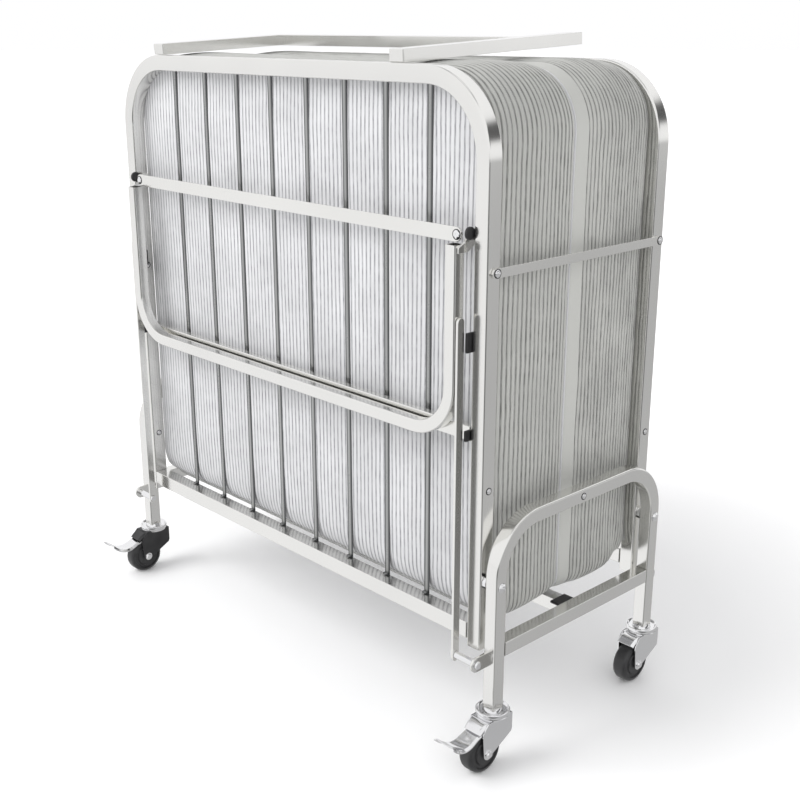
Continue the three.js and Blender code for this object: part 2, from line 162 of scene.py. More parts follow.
NICKEL = plated_metal("nickel_tube", (0.86, 0.855, 0.83), (0.80, 0.795, 0.775), 0.14, 0.05, 0.02)
NICKEL_BAR = plated_metal("nickel_bar", (0.87, 0.865, 0.84), (0.82, 0.815, 0.79), 0.17, 0.05, 0.02)
ZINC = plated_metal("zinc_plate", (0.88, 0.88, 0.88), (0.80, 0.80, 0.81), 0.10, 0.05, 0.02)
STRAP = plated_metal("strap_steel", (0.46, 0.465, 0.46), (0.36, 0.365, 0.36), 0.26, 0.1, 0.05)
# Each strap's colour runs to near black towards both its edges: painted shade along the edges. Strap centres
# lie 100 mm apart, half a step off the middle.
tree = STRAP.node_tree
place = add_node(tree, "ShaderNodeTexCoord").outputs["Object"]
split = add_node(tree, "ShaderNodeSeparateXYZ", {"Vector": place})
phase = calculate(tree, "FRACT", calculate(tree, "MULTIPLY", split.outputs["X"], 10.0))
off_centre = calculate(tree, "ABSOLUTE", calculate(tree, "SUBTRACT", phase, 0.5))
# edge is the painted shade, from nothing at a strap's middle to near black at its edges.
edge = spread(tree, off_centre, 0.0, 0.85, 0.012, 0.045)
shader = tree.nodes["Principled BSDF"]
plain = shader.inputs["Base Color"].links[0].from_socket
tree.links.new(blend_colours(tree, edge, plain, (0.05, 0.052, 0.055, 1)), shader.inputs["Base Color"])
print("metals:", NICKEL.name, NICKEL_BAR.name, ZINC.name, STRAP.name)

# %% [markdown]
# Rubber tyres and moulded bushes are black, but not evenly so: the skin of a moulding has a fine
# texture, and a tyre picks up dust. Noise in the colour, the roughness and a fine bump shows that.


# %% Black rubber and black plastic
def moulded_black(name, dusty, rough, speckle):
    material, tree, shader = start_finish(name)
    place = add_node(tree, "ShaderNodeTexCoord").outputs["Object"]
    cloud = grain(tree, place, 25.0, 4.0)
    skin = grain(tree, place, speckle, 2.0)
    shade = blend_colours(tree, spread(tree, cloud, 0.0, 1.0), (0.012, 0.012, 0.013, 1), (*dusty, 1))
    tree.links.new(shade, shader.inputs["Base Color"])
    tree.links.new(spread(tree, skin, rough, rough + 0.16), shader.inputs["Roughness"])
    bump = add_node(tree, "ShaderNodeBump", {"Height": skin, "Strength": 0.15, "Distance": 0.0002})
    tree.links.new(bump.outputs["Normal"], shader.inputs["Normal"])
    return material


RUBBER = moulded_black("caster_rubber", (0.03, 0.03, 0.031), 0.3, 700.0)
BLACK = moulded_black("black_plastic", (0.024, 0.024, 0.025), 0.34, 1100.0)
print("blacks:", RUBBER.name, BLACK.name)

# %% [markdown]
# Ticking is a firm woven cotton with fine lengthwise stripes. The cloth bends with the mattress, so the
# stripes can't hang on places in space. They are drawn along U of a map, in metres across the stripes,
# with V along them. Faint noise makes each stripe wander, and a weave of two crossed waves is the yarn.
# U past PLAIN_FROM marks the plain bands, which have no stripes.
STRIPE, YARN, PLAIN_FROM = 0.0102, 0.0016, 2.0


# %% Striped ticking
def ticking(name, ridge, valley, wander, depth):
    material, tree, shader = start_finish(name)
    laid = add_node(tree, "ShaderNodeUVMap", uv_map="ticking").outputs["UV"]
    drift = grain(tree, laid, 9.0, 3.0)
    jitter = grain(tree, laid, 60.0, 2.0)
    split = add_node(tree, "ShaderNodeSeparateXYZ", {"Vector": laid})
    moved = calculate(tree, "ADD", split.outputs["X"], spread(tree, drift, -wander, wander))
    moved = calculate(tree, "ADD", moved, spread(tree, jitter, -wander / 5, wander / 5))
    turn = calculate(tree, "MULTIPLY", moved, 2 * math.pi / STRIPE)
    rib = calculate(tree, "ADD", calculate(tree, "MULTIPLY", calculate(tree, "SINE", turn), 0.5), 0.5)
    line = spread(tree, rib, 1.0, 0.0, 0.0, 0.42)
    streak = grain(tree, laid, 45.0, 4.0)
    strength = calculate(tree, "MULTIPLY", line, spread(tree, streak, 0.55, 1.0))
    shaded = (*(value * 0.86 for value in ridge), 1)
    plain = blend_colours(tree, spread(tree, drift, 0.0, 1.0), (*ridge, 1), shaded)
    tinted = blend_colours(tree, strength, plain, (*valley, 1))
    band = calculate(tree, "GREATER_THAN", split.outputs["X"], PLAIN_FROM)
    shown = blend_colours(tree, band, tinted, (*(value * 1.04 for value in ridge), 1))
    tree.links.new(shown, shader.inputs["Base Color"])
    shader.inputs["Roughness"].default_value = 0.86
    shader.inputs["Sheen Weight"].default_value = 0.25
    shader.inputs["Sheen Roughness"].default_value = 0.5
    warp = calculate(tree, "SINE", calculate(tree, "MULTIPLY", split.outputs["X"], 2 * math.pi / YARN))
    weft = calculate(tree, "SINE", calculate(tree, "MULTIPLY", split.outputs["Y"], 2 * math.pi / YARN))
    yarn = calculate(tree, "MULTIPLY", warp, weft)
    striped = calculate(tree, "SUBTRACT", 1.0, band)
    raised = calculate(tree, "MULTIPLY", calculate(tree, "SUBTRACT", 1.0, line), striped)
    rounded = add_node(tree, "ShaderNodeBump", {"Height": raised, "Strength": depth, "Distance": 0.0016})
    woven = add_node(
        tree,
        "ShaderNodeBump",
        {"Height": yarn, "Strength": 0.2, "Distance": 0.0002, "Normal": rounded.outputs["Normal"]},
    )
    tree.links.new(woven.outputs["Normal"], shader.inputs["Normal"])
    return material


TICKING_PANEL = ticking("ticking_panel", (0.57, 0.572, 0.582), (0.19, 0.192, 0.203), 0.0003, 0.6)
# The border's copy is darker, ridge and valley alike: painted shade on the mattress's ends and top, which lie
# in shade.
TICKING_BORDER_PAINTED_SHADE = ticking("ticking_border_painted_shade", (0.44, 0.442, 0.42), (0.13, 0.131, 0.124), 0.0008, 0.9)
print("cloths:", TICKING_PANEL.name, TICKING_BORDER_PAINTED_SHADE.name)

# %% [markdown]
# ## Making pieces
# Each piece is a mesh made from lists of points and faces. One helper turns the lists into an object,
# shades it smooth but keeps edges sharper than a given angle, and ties it to the body it moves with.


# %% Helpers for pieces
def shade(piece, angle=35):
    for polygon in piece.data.polygons:
        polygon.use_smooth = True
    piece.data.set_sharp_from_angle(angle=math.radians(angle))
    even = piece.modifiers.new("even_shading", "WEIGHTED_NORMAL")
    even.keep_sharp = True


def piece_of(name, points, faces, finish):
    mesh = bpy.data.meshes.new(name)
    mesh.from_pydata([tuple(p) for p in points], [], faces)
    work = bmesh.new()
    work.from_mesh(mesh)
    bmesh.ops.recalc_face_normals(work, faces=work.faces)
    work.to_mesh(mesh)
    work.free()
    piece = bpy.data.objects.new(name, mesh)
    bpy.context.scene.collection.objects.link(piece)
    mesh.materials.append(finish)
    return piece


def settle(piece, body, slot, *stands_for, angle=35):
    shade(piece, angle)
    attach(piece, body)
    if stands_for:
        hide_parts(*stands_for)
    return piece


def soften(node, width, finish, segments=3):
    """Rounds the edges of a CAD node with modifiers, which leave its mesh as it is."""
    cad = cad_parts[node]
    cad.data.materials.clear()
    cad.data.materials.append(finish)
    weld = cad.modifiers.new("weld", "WELD")
    weld.merge_threshold = 0.00002
    edge = cad.modifiers.new("round_edges", "BEVEL")
    edge.width, edge.segments, edge.limit_method = width * MM, segments, "ANGLE"
    edge.angle_limit, edge.harden_normals = math.radians(40), True
    return cad


# %% [markdown]
# ## Square tube
# A bent square tube is a section carried along a line. The section has rounded corners, as drawn tube
# has, and a smaller one inside makes the bore, so that the open ends show the wall.


# %% Sections and sweeps
WALL = 1.6


def section(wide, deep, radius, steps=4):
    """The outline of a square tube with round corners, as (outward, sideways) pairs in metres."""
    outline = []
    for quarter, (sa, sb) in enumerate(((1, 1), (-1, 1), (-1, -1), (1, -1))):
        for i in range(steps + 1):
            turn = math.radians(90 * (quarter + i / steps))
            a = sa * (wide / 2 - radius) + radius * math.cos(turn)
            b = sb * (deep / 2 - radius) + radius * math.sin(turn)
            outline.append((a * MM, b * MM))
    return outline


def sweep(stations, outline, bore=None):
    """Points and faces of a section carried along stations, each one (centre, outward, sideways)."""
    points, faces, starts = [], [], []
    count = len(outline)
    for ring in filter(None, (outline, bore)):
        starts.append(len(points))
        for centre, outward, sideways in stations:
            points += [centre + outward * a + sideways * b for a, b in ring]
        for j in range(len(stations) - 1):
            low = starts[-1] + j * count
            for i in range(count):
                k = (i + 1) % count
                faces.append((low + i, low + k, low + count + k, low + count + i))
    for j in (0, len(stations) - 1):
        low = j * count
        if bore:
            inner = starts[1] + low
            for i in range(count):
                k = (i + 1) % count
                faces.append((low + i, low + k, inner + k, inner + i))
        else:
            faces.append(tuple(range(low, low + count)))
    return points, faces


def u_stations(half_width, top, corner, foot, width, place, across, up, depth, steps=16):
    """Stations along the middle of a U with its open end at the foot, in millimetres in its own plane."""
    radius = corner - width / 2
    route = [(half_width - width / 2, foot, 0.0)]
    for i in range(steps + 1):
        turn = math.pi / 2 * i / steps
        u = half_width - corner + radius * math.cos(turn)
        v = top - corner + radius * math.sin(turn)
        route.append((u, v, turn))
    route += [(-u, v, math.pi - turn) for u, v, turn in reversed(route)]
    return [
        (place + (across * u + up * v) * MM, across * math.cos(t) + up * math.sin(t), depth)
        for u, v, t in route
    ]


def bent_tube(name, stations, wide, corners, body, cad_node):
    """A hollow U of square tube in place of its CAD node, with the corners' outer and inner radius."""
    bore = wide - 2 * WALL
    made = sweep(stations, section(wide, wide, corners[0]), section(bore, bore, corners[1]))
    piece = settle(piece_of(name, *made, NICKEL), body, "nickel_tube", cad_node)
    print(piece.name, len(piece.data.vertices), "points")


# %% [markdown]
# The deck frames, the end stands and the legs are all the same idea: a U with round corners. Their
# sizes come from the CAD boxes, and the corner radii are those of the CAD model.


# %% Deck frames
DECK_CORNER, DECK_TUBE = 135, 29
for half in HALVES:
    low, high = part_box(f"deck_frame_{half}")
    middle = Vector((0, (low.y + high.y) / 2, 0))
    stations = u_stations(high.x / MM, high.z / MM, DECK_CORNER, low.z / MM, DECK_TUBE, middle, X, Z, Y)
    bent_tube(f"deck_tube_{half}", stations, DECK_TUBE, (3.6, 2), f"deck_{half}", f"deck_frame_{half}")

# %% End stands
STAND_CORNER, STAND_TUBE = 100, 25.4
for side in SIDES:
    low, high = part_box(f"end_stand_{side}")
    rail_low, rail_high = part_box(f"stand_rail_{side}")
    middle = Vector(((rail_low.x + rail_high.x) / 2, FOLD_Y, 0))
    reach = (rail_high.y - rail_low.y) / 2 / MM + STAND_TUBE + 0.3
    stations = u_stations(reach, high.z / MM, STAND_CORNER, low.z / MM, STAND_TUBE, middle, Y, Z, X)
    bent_tube(f"end_arch_{side}", stations, STAND_TUBE, (3.4, 1.9), "base", f"end_stand_{side}")

# %% Legs
LEG_CORNER, LEG_TUBE, LEG_HALF, LEG_REACH = 92, 22, 459, 313
for half, sign in HALVES.items():
    low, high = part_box(f"leg_frame_{half}")
    outer_y = low.y if half == "front" else high.y
    middle = Vector((0, outer_y + sign * LEG_TUBE / 2 * MM, low.z))
    stations = u_stations(LEG_HALF, 0, LEG_CORNER, -LEG_REACH, LEG_TUBE, middle, X, -Z, Y)
    bent_tube(f"leg_tube_{half}", stations, LEG_TUBE, (3.2, 1.7), f"leg_{half}", f"leg_frame_{half}")

# %% [markdown]
# ## Straight tubes, bars and the top hoop
# These CAD nodes have the right shape already. A Bevel modifier rounds their edges, so that each edge
# catches a line of light, and the mesh itself stays as it was packed.

# %% Finish the straight pieces
for side in SIDES:
    soften(f"stand_rail_{side}", 3.0, NICKEL)
soften("centre_cross_tube", 3.0, NICKEL)
soften("top_hoop", 2.4, NICKEL)
soften("latch_bar", 0.9, NICKEL_BAR)
for half in HALVES:
    soften(f"deck_rail_{half}", 3.4, NICKEL)
    soften(f"deck_cross_tube_{half}", 2.6, NICKEL)
    soften(f"leg_brace_{half}", 0.9, NICKEL_BAR)
    for side in SIDES:
        end = f"{half}_{side}"
        soften(f"link_bar_{end}", 0.8, NICKEL_BAR)
        soften(f"deck_pivot_{end}", 0.5, ZINC, 2)
        soften(f"link_pin_{end}", 0.5, ZINC, 2)
        soften(f"leg_pivot_{end}", 0.5, BLACK, 2)
        soften(f"caster_axle_{end}", 0.4, ZINC, 2)
print("softened", sum(1 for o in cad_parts.values() if o.modifiers), "nodes")

# %% [markdown]
# ## Straps
# Eight thin steel bands span each deck from top rail to bottom rail. Each is slightly crowned across its
# width, as rolled band is, and hooks over a rail at its ends with a folded clip.

# %% Deck straps and their clips
STRAP_HALF, STRAP_CROWN, STRAP_THICK, STRAP_ROWS, STRAP_STEP = 6.0, 0.9, 0.8, 5, 100
BOX_FACES = [(0, 1, 3, 2), (4, 6, 7, 5), (0, 4, 5, 1), (2, 3, 7, 6), (0, 2, 6, 4), (1, 5, 7, 3)]


def strap(x, y, low, high, sign):
    """A crowned band between two heights, as points and faces with a closed thin section."""
    points, faces = [], []
    for z in (low, high):
        for i in range(STRAP_ROWS):
            share = 2 * i / (STRAP_ROWS - 1) - 1
            points.append(at(x + STRAP_HALF * share, y - sign * STRAP_CROWN * (1 - share**2), z))
        for i in reversed(range(STRAP_ROWS)):
            share = 2 * i / (STRAP_ROWS - 1) - 1
            points.append(at(x + STRAP_HALF * share, y + sign * STRAP_THICK, z))
    count = 2 * STRAP_ROWS
    for i in range(count):
        k = (i + 1) % count
        faces.append((i, k, count + k, count + i))
    return points, faces + [tuple(range(count)), tuple(range(count, 2 * count))]


def merged(parts):
    """Several lists of points and faces as one."""
    points, faces = [], []
    for more_points, more_faces in parts:
        start = len(points)
        points += more_points
        faces += [tuple(start + i for i in face) for face in more_faces]
    return points, faces


def block(x0, x1, y0, y1, z0, z1):
    """The points and faces of a rectangular solid, for pieces that get a bevel."""
    return [at(x, y, z) for x in (x0, x1) for y in (y0, y1) for z in (z0, z1)], BOX_FACES


def bevelled(piece, width, segments=2):
    edge = piece.modifiers.new("round_edges", "BEVEL")
    edge.width, edge.segments, edge.limit_method = width * MM, segments, "ANGLE"
    edge.angle_limit = math.radians(30)
    return piece


STRAP_PLACES = [STRAP_STEP * (i - 3.5) for i in range(8)]
for half, sign in HALVES.items():
    low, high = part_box(f"deck_straps_{half}")
    y = ((low.y + high.y) / 2 - FOLD_Y) / MM
    bands = merged([strap(x, y, low.z / MM, high.z / MM, sign) for x in STRAP_PLACES])
    piece = piece_of(f"strap_bands_{half}", *bands, STRAP)
    settle(piece, f"deck_{half}", "strap_steel", f"deck_straps_{half}")
    rail_low, rail_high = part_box(f"deck_rail_{half}")
    clips = []
    for x in STRAP_PLACES:
        top = rail_high.z / MM
        clips.append(block(x - 6.2, x + 6.2, *sorted((y - sign * 1.2, y - sign * 5)), top + 0.2, top + 3.2))
        clips.append(block(x - 3.2, x + 3.2, *sorted((y - sign * 4, y - sign * 9)), top + 0.2, top + 1.8))
    piece = piece_of(f"strap_clips_{half}", *merged(clips), STRAP)
    bevelled(piece, 0.5)
    settle(piece, f"deck_{half}", "strap_steel")
    print(piece.name, len(clips), "blocks")

# %% [markdown]
# ## Screws, rivets and small black parts
# A screw head is a low dome with a slot across it. It is turned from a profile ring by ring, and the
# points that lie in the slot are pushed down.


# %% Turned shapes
SLOT_DEPTH = 0.7


def turned(profile, place, axis, sides=28, slot=0.0, slot_turn=0.5):
    """Points and faces of a profile of (height, radius) pairs in millimetres, turned about an axis."""
    axis = axis.normalized()
    across = axis.orthogonal().normalized()
    other = axis.cross(across)
    points, faces, rings = [], [], []
    for height, radius in profile:
        if radius == 0:
            rings.append([len(points)])
            points.append(place + axis * (height * MM))
            continue
        rings.append([len(points) + i for i in range(sides)])
        for i in range(sides):
            turn = 2 * math.pi * i / sides
            u, v = radius * math.cos(turn + slot_turn), radius * math.sin(turn + slot_turn)
            sunk = slot if slot and abs(v) < 0.13 * profile[0][1] + 0.35 and height > 0.5 else 0.0
            points.append(place + axis * ((height - sunk) * MM) + (across * u + other * v) * MM)
    for low, high in zip(rings, rings[1:]):
        for i in range(sides):
            k = (i + 1) % sides
            if len(low) == 1 and len(high) > 1:
                faces.append((low[0], high[k], high[i]))
            elif len(high) == 1 and len(low) > 1:
                faces.append((low[i], low[k], high[0]))
            elif len(low) > 1:
                faces.append((low[i], low[k], high[k], high[i]))
    for ring in (rings[0], rings[-1]):
        if len(ring) > 1:
            faces.append(tuple(ring))
    return points, faces


def dome(radius, height):
    """The profile of a round head that stands on a face."""
    steps = 6
    return [(-0.4, radius), (0.0, radius)] + [
        (height * math.sin(math.pi / 2 * i / steps), radius * math.cos(math.pi / 2 * i / steps))
        for i in range(1, steps)
    ] + [(height, 0.0)]


def heads(name, places, body, finish, slot, radius, height):
    """A set of round heads at (place, axis) pairs as one piece, each on a thin dark washer."""
    rims = [turned([(-0.3, radius + 1.1), (0.5, radius + 1.1), (0.7, radius)], *head) for head in places]
    settle(piece_of(f"{name}_washers", *merged(rims), BLACK), body, "black_plastic", angle=50)
    parts = [
        turned(dome(radius, height), place, axis, slot=SLOT_DEPTH, slot_turn=0.4 + i)
        for i, (place, axis) in enumerate(places)
    ]
    return settle(piece_of(name, *merged(parts), finish), body, slot, angle=50)


# %% Rivets and screws
# The deck tubes' middle from the fold plane, and the faces of their sides from the bed's middle.
TUBE_Y, SIDE_OUT, SIDE_IN = 208, 500, 471
for half, sign in HALVES.items():
    f = -sign
    deck = []
    for s in (1, -1):
        deck.append((at(s * SIDE_OUT, f * TUBE_Y, 483), X * s))
        deck.append((at(s * SIDE_IN, f * TUBE_Y, 705), -X * s))
        deck.append((at(s * SIDE_IN, f * TUBE_Y, 334), -X * s))
    heads(f"deck_screws_{half}", deck, f"deck_{half}", ZINC, "zinc", 5.0, 2.2)
    brace = [(at(s * 443.5, f * 231, 885), Y * f) for s in (1, -1)]
    heads(f"brace_rivets_{half}", brace, f"leg_{half}", ZINC, "zinc", 7.2, 2.6)
    for side, s in SIDES.items():
        end = f"{half}_{side}"
        foot = at(s * 533.7, f * TUBE_Y, 327)
        heads(f"stand_rivet_{end}", [(foot, X * s)], "base", ZINC, "zinc", 5.6, 4.6)
latch = [(at(504.5, -205, 831), X), (at(504.5, TUBE_Y, 831), X)]
heads("latch_rivets", latch, "latch", ZINC, "zinc", 6.4, 2.6)
tops = [(at(s * 533.4, -7, 428), X * s) for s in (1, -1)]
heads("arch_screws", tops, "base", ZINC, "zinc", 5.2, 2.2)
print("screws and rivets are in place")

# %% [markdown]
# Rubber buffers stop the links from rattling on the deck's sides, a bush spaces each leg off the deck,
# and a rest pad on the cross tube carries the folded mattress.

# %% Buffers, bushes and rest pads
for half, sign in HALVES.items():
    f = -sign
    buffers, bushes = [], []
    for s in (1, -1):
        for z, tall in ((722, 16), (572, 9)):
            x = sorted((s * 465.6, s * 470.7))
            buffers.append(block(*x, *sorted((f * 209, f * 232)), z - tall, z + tall))
        bush = [(0, 6), (0.4, 8.8), (1.2, 9.8), (4.8, 9.8), (5.6, 8.8), (6.0, 6)]
        bushes.append(turned(bush, at(s * 463.2, f * 226, 889), X * s, 36))
    piece = bevelled(piece_of(f"link_buffers_{half}", *merged(buffers), BLACK), 1.6, 3)
    settle(piece, f"deck_{half}", "black_plastic")
    settle(piece_of(f"leg_bushes_{half}", *merged(bushes), BLACK), f"deck_{half}", "black_plastic")
tube_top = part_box("centre_cross_tube")[1].z / MM
pads = [block(*sorted((s * 484, s * 507)), -24, 16, tube_top - 4, tube_top + 0.9) for s in (1, -1)]
settle(bevelled(piece_of("rest_pads", *merged(pads), BLACK), 2.0, 3), "base", "black_plastic")
print("buffers, bushes and pads are in place")

# %% [markdown]
# ## Mattress
# One soft mattress bends at the bottom and stands as two halves, face to face. Each half is a closed
# quad mesh laid out for its cloth: two panels whose rows follow the rounded outline, and a border of
# narrow columns round them. Narrow columns leave enough points to shape every rib of the border.

# %% Mattress sizes in millimetres
PAD_HALF, PAD_LOW, PAD_HIGH = 484, 222, 1128
PAD_FACE = -193
TOP_ROUND, FOOT_ROUND, FOLD_ROUND = 104, 30, 60
OUTER_EDGE, INNER_EDGE, CROWN = 7, 6, 8
SWELL_CAP, STRAP_SWELL, RIB_DEPTH = 6, 3.0, 1.3
COLUMNS, SIDE_ROWS = 26, 30


def outline_rows():
    """The rows of a panel from bottom to top, each a function of the inset that gives (half width, z)."""
    rows = []
    for i in range(4):
        turn = math.radians(-90 + 90 * i / 4)
        rows.append(("foot", turn))
    for i in range(SIDE_ROWS + 1):
        rows.append(("side", i / SIDE_ROWS))
    for i in range(1, 9):
        rows.append(("top", math.radians(90 * i / 8)))
    return rows


def row_place(row, inset):
    part, value = row
    if part == "foot":
        r = FOOT_ROUND - inset
        return PAD_HALF - FOOT_ROUND + r * math.cos(value), PAD_LOW + FOOT_ROUND + r * math.sin(value)
    if part == "top":
        r = TOP_ROUND - inset
        return PAD_HALF - TOP_ROUND + r * math.cos(value), PAD_HIGH - TOP_ROUND + r * math.sin(value)
    low, high = PAD_LOW + FOOT_ROUND, PAD_HIGH - TOP_ROUND
    return PAD_HALF - inset, low + (high - low) * value


def border_steps():
    """Steps across the border from the outer panel to the inner one, each (y, inset)."""
    steps = []
    for i in range(4):
        turn = math.radians(90 * i / 3)
        steps.append((PAD_FACE + OUTER_EDGE * (1 - math.cos(turn)), OUTER_EDGE * (1 - math.sin(turn))))
    low, high = PAD_FACE + OUTER_EDGE, -INNER_EDGE
    for i in range(1, 17):
        share = i / 17
        steps.append((low + (high - low) * share, -CROWN * math.sin(math.pi * share) ** 0.8))
    for i in range(3):
        turn = math.radians(90 * (1 - i / 2))
        steps.append((-INNER_EDGE * (1 - math.cos(turn)), INNER_EDGE * (1 - math.sin(turn))))
    return steps


print("a panel has", len(outline_rows()), "rows, the border", len(border_steps()) - 1, "columns")

# %% [markdown]
# The mesh is written down once for a half that faces the front. Beside each corner of a face goes its
# place on the flat cloth: across and along the stripes. Where the cloth wraps the bottom fold, it is
# the panel that runs on, so its stripes stay in line.


# %% Build one half as quads
PLAIN_MARK = 3000


def half_mattress(plain):
    rows, steps = outline_rows(), border_steps()
    points, faces, cloth = [], [], []
    grid = {}
    for kind, (y, inset) in (("outer", steps[0]), ("inner", steps[-1])):
        for j, row in enumerate(rows):
            half, z = row_place(row, inset)
            for i in range(COLUMNS + 1):
                grid[kind, i, j] = len(points)
                points.append((half * (2 * i / COLUMNS - 1), y, z))
    top = len(rows) - 1
    loop = [(i, 0) for i in range(COLUMNS)] + [(COLUMNS, j) for j in range(top)]
    loop += [(i, top) for i in range(COLUMNS, 0, -1)] + [(0, j) for j in range(top, 0, -1)]
    ring = {}
    for s, (i, j) in enumerate(loop):
        ring[s, 0], ring[s, len(steps) - 1] = grid["outer", i, j], grid["inner", i, j]
        for k, (y, inset) in enumerate(steps[1:-1], 1):
            half, z = row_place(rows[j], inset)
            ring[s, k] = len(points)
            points.append((half * (2 * i / COLUMNS - 1), y, z))
    for kind in ("outer", "inner"):
        for j in range(top):
            for i in range(COLUMNS):
                face = [grid[kind, i + a, j + b] for a, b in ((0, 0), (1, 0), (1, 1), (0, 1))]
                faces.append(face)
                cloth.append([(points[p][0], points[p][2]) for p in face])
    along = [0.0]
    for (i, j), (i2, j2) in zip(loop, loop[1:] + loop[:1]):
        a, b = points[grid["outer", i, j]], points[grid["outer", i2, j2]]
        along.append(along[-1] + math.dist(a, b))
    for s in range(len(loop)):
        n = (s + 1) % len(loop)
        under = loop[s][1] == 0 and loop[n][1] == 0
        for k in range(len(steps) - 1):
            face = [ring[s, k], ring[n, k], ring[n, k + 1], ring[s, k + 1]]
            faces.append(face)
            if under:
                cloth.append([(points[p][0], PAD_LOW - points[p][1]) for p in face])
                continue
            mark = PLAIN_MARK if steps[k][0] > -plain - 1 else 0
            across = [steps[m][0] - PAD_FACE + mark for m in (k, k, k + 1, k + 1)]
            cloth.append(list(zip(across, (along[s], along[s + 1], along[s + 1], along[s]))))
    return np.array(points), faces, cloth


def round_the_fold(points):
    """Draws the square outer corner at the bottom in to a quarter circle, all the way through."""
    a = (PAD_FACE + FOLD_ROUND - points[:, 1]) / FOLD_ROUND
    b = (PAD_LOW + FOLD_ROUND - points[:, 2]) / FOLD_ROUND
    inside = (a > 0) & (b > 0)
    scale = np.ones(len(points))
    scale[inside] = np.maximum(a, b)[inside] / np.hypot(a, b)[inside]
    points[:, 1] = np.where(inside, PAD_FACE + FOLD_ROUND - a * scale * FOLD_ROUND, points[:, 1])
    points[:, 2] = np.where(inside, PAD_LOW + FOLD_ROUND - b * scale * FOLD_ROUND, points[:, 2])
    return points


# %% [markdown]
# A filled cover is tight: it swells a little and draws in at its edges. Twenty frames of cloth under an
# inner pressure give each point's way outward. Left free it would go much too far, so the movement is
# capped at a few millimetres, where the deck's frame and straps hold the real mattress in.


# %% Cloth simulation
def coordinates(mesh):
    flat = np.zeros(len(mesh.vertices) * 3)
    mesh.vertices.foreach_get("co", flat)
    return flat.reshape(-1, 3)


def swell(piece, cap):
    start = coordinates(piece.data)
    cloth = piece.modifiers.new("filling", "CLOTH")
    cloth.settings.quality = 5
    cloth.settings.mass = 0.4
    cloth.settings.use_pressure = True
    cloth.settings.uniform_pressure_force = 4.0
    cloth.settings.tension_stiffness = cloth.settings.compression_stiffness = 12
    cloth.settings.bending_stiffness = 0.6
    cloth.settings.effector_weights.gravity = 0
    scene = bpy.context.scene
    for step in range(1, 21):
        scene.frame_set(step)
    grown = bpy.data.meshes.new_from_object(piece.evaluated_get(bpy.context.evaluated_depsgraph_get()))
    moved = coordinates(grown) - start
    piece.modifiers.remove(cloth)
    scene.frame_set(1)
    reach = np.linalg.norm(moved, axis=1, keepdims=True)
    print("cloth moved up to", round(float(reach.max()) / MM, 1), "mm, capped at", cap)
    return moved * np.minimum(1, cap * MM / np.maximum(reach, 1e-9))


# %% [markdown]
# The border's ribs are real folds about a millimetre deep. The same wandering line places the fold in
# the mesh and the dark stripe in the cloth, so that the two always meet.


# %% Ribs that wander
def wander(u, v, size, seed):
    """How far a stripe strays sideways at (u, v), in metres."""
    wave = np.sin(2 * math.pi * (v / 0.31 + u / 0.08) + seed)
    wave = wave + 0.6 * np.sin(2 * math.pi * (v / 0.127 - u / 0.07) + 2.1 * seed)
    wave = wave + 0.4 * np.sin(2 * math.pi * (v / 0.053 + u / 0.045) + 3.7 * seed)
    return size * wave


def rib_line(u):
    """1 in the valley between two ribs, 0 on their backs."""
    rib = 0.5 + 0.5 * np.sin(2 * math.pi * u / STRIPE)
    share = np.clip(1 - rib / 0.42, 0, 1)
    return share * share * (3 - 2 * share)


def per_corner_to_point(mesh, values):
    """Averages a value that each face's corners hold onto the points."""
    corner = np.zeros(len(mesh.loops), np.int64)
    mesh.loops.foreach_get("vertex_index", corner)
    total = np.bincount(corner, values, len(mesh.vertices))
    return total / np.maximum(np.bincount(corner, minlength=len(mesh.vertices)), 1)


# %% Lay the cloth on the faces
def lay_cloth(pad, faces, cloth, tighter):
    """Writes the cloth's map, and gives the panels their own finish."""
    laid = pad.data.uv_layers.new(name="ticking")
    corners = {}
    for face, spots in zip(faces, cloth):
        for point, spot in zip(face, spots):
            corners[tuple(sorted(face)), point] = spot
    for polygon in pad.data.polygons:
        key = tuple(sorted(polygon.vertices))
        for loop in polygon.loop_indices:
            u, v = corners[key, pad.data.loops[loop].vertex_index]
            laid.data[loop].uv = (u * MM * (1 if u * MM > PLAIN_FROM else tighter), v * MM)
        on_panel = abs(polygon.normal.y) > 0.8 or polygon.center.z < (PAD_LOW + 4) * MM
        # Faces off the panels take slot 0, the darker copy of the ticking that paints the shade on the ends
        # and top.
        polygon.material_index = 1 if on_panel else 0


# %% [markdown]
# Between the straps the panel swells out a little, and at its edges it lies flat again. Beside the last
# strap the swell runs on to the deck's side tube.


# %% The swell between the straps
def ramp(value, start, length):
    """0 before a place, 1 past it, with a slope between them."""
    return np.clip((value - start) / length, 0, 1)


def strap_swell(x, z, full):
    """How far a panel swells out at (x, z) in millimetres, where full is the most."""
    away, last = np.abs(x), 350
    between = np.abs(np.sin(math.pi * (x - STRAP_STEP / 2) / STRAP_STEP)) ** 0.7 * (away < last + 2)
    between = np.maximum(between, (away >= last) * ramp(away, last + 8, 40))
    inside = np.clip((450 - away) / 60, 0, 1) * ramp(z, 300, 60) * np.clip((1080 - z) / 60, 0, 1)
    return full * between * inside


# %% Fold the ribs and crease the ends
def read(items, key, width, kind=float):
    values = np.zeros(len(items) * width, kind)
    items.foreach_get(key, values)
    return values


